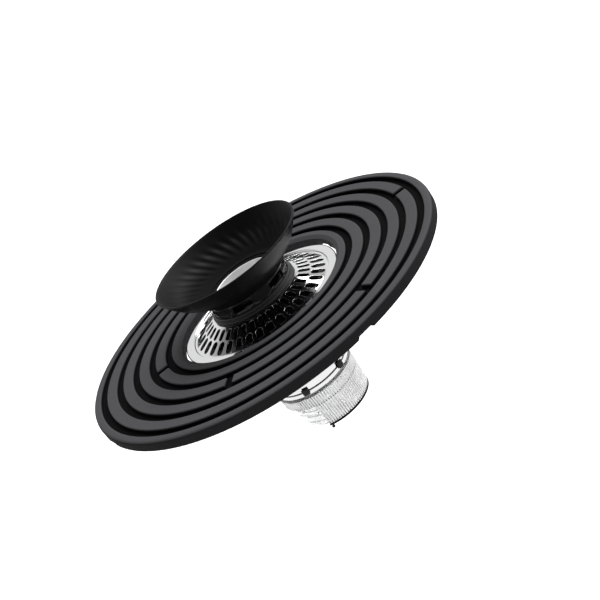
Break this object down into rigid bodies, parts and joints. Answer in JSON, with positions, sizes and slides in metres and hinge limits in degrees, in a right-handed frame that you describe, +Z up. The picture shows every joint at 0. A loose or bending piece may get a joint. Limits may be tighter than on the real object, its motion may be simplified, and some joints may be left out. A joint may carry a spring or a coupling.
{
  "type": "sink drain set with waste funnel",
  "caption": "Round channelled drain mat round a polished drain flange, with a slotted strainer cone, a black feed funnel and a clear ribbed catch cup below.",
  "frame": {"origin": "on the drain's axis, in the plane of the sink deck's top face, where the flange gasket rests", "axes": "+Z up along the drain's axis, towards the funnel's mouth; -Y towards the front, where the first collar window is"},
  "size_m": [0.252, 0.252, 0.1313],
  "materials": {
    "mat_rubber": "matte dark grey moulded rubber",
    "seal_rubber": "matte black rubber",
    "mirror_steel": "polished stainless steel",
    "liner_steel": "fine brushed stainless steel",
    "black_plastic": "matte black moulded plastic",
    "gloss_black": "glossy black plastic",
    "funnel_black": "satin black moulded plastic",
    "clear_plastic": "clear moulded plastic"
  },
  "bodies": {
    "drain": {"flange_ring": "mirror_steel", "flange_gasket": "seal_rubber", "drain_body": "black_plastic", "sink_washer": "seal_rubber", "friction_washer": "black_plastic", "lock_nut": "black_plastic", "neck_washer": "seal_rubber", "outlet_ring": "mirror_steel"},
    "mat": {"drain_mat": "mat_rubber"},
    "strainer": {"strainer_cone": "mirror_steel", "throat_liner": "liner_steel", "collar_base": "seal_rubber", "funnel_collar": "gloss_black", "collar_screw_1": "liner_steel", "collar_screw_2": "liner_steel", "collar_screw_3": "liner_steel"},
    "funnel": {"funnel": "funnel_black"},
    "lock": {"lock_ring": "mirror_steel", "cup_seal": "seal_rubber", "lock_tab_1": "seal_rubber", "lock_tab_2": "seal_rubber", "lock_tab_3": "seal_rubber", "lock_tab_4": "seal_rubber", "lock_tab_5": "seal_rubber", "lock_tab_6": "seal_rubber"},
    "cup": {"grip_sleeve": "clear_plastic", "sleeve_rim": "seal_rubber", "catch_cup": "clear_plastic", "stop_lug": "seal_rubber"}
  },
  "joints": [
    {"name": "mat_lift", "type": "slide", "parent": "drain", "child": "mat", "axis": [0, 0, 1], "range_m": [0, 0.055]},
    {"name": "strainer_lift", "type": "slide", "parent": "drain", "child": "strainer", "axis": [0, 0, 1], "range_m": [0, 0.03]},
    {"name": "funnel_lift", "type": "slide", "parent": "strainer", "child": "funnel", "axis": [0, 0, 1], "range_m": [0, 0.02]},
    {"name": "cup_turn", "type": "hinge", "parent": "drain", "child": "lock", "pos_m": [0, 0, -0.056], "axis": [0, 0, 1], "range_deg": [0, 30]},
    {"name": "cup_drop", "type": "slide", "parent": "lock", "child": "cup", "axis": [0, 0, -1], "range_m": [0, 0.04]}
  ]
}
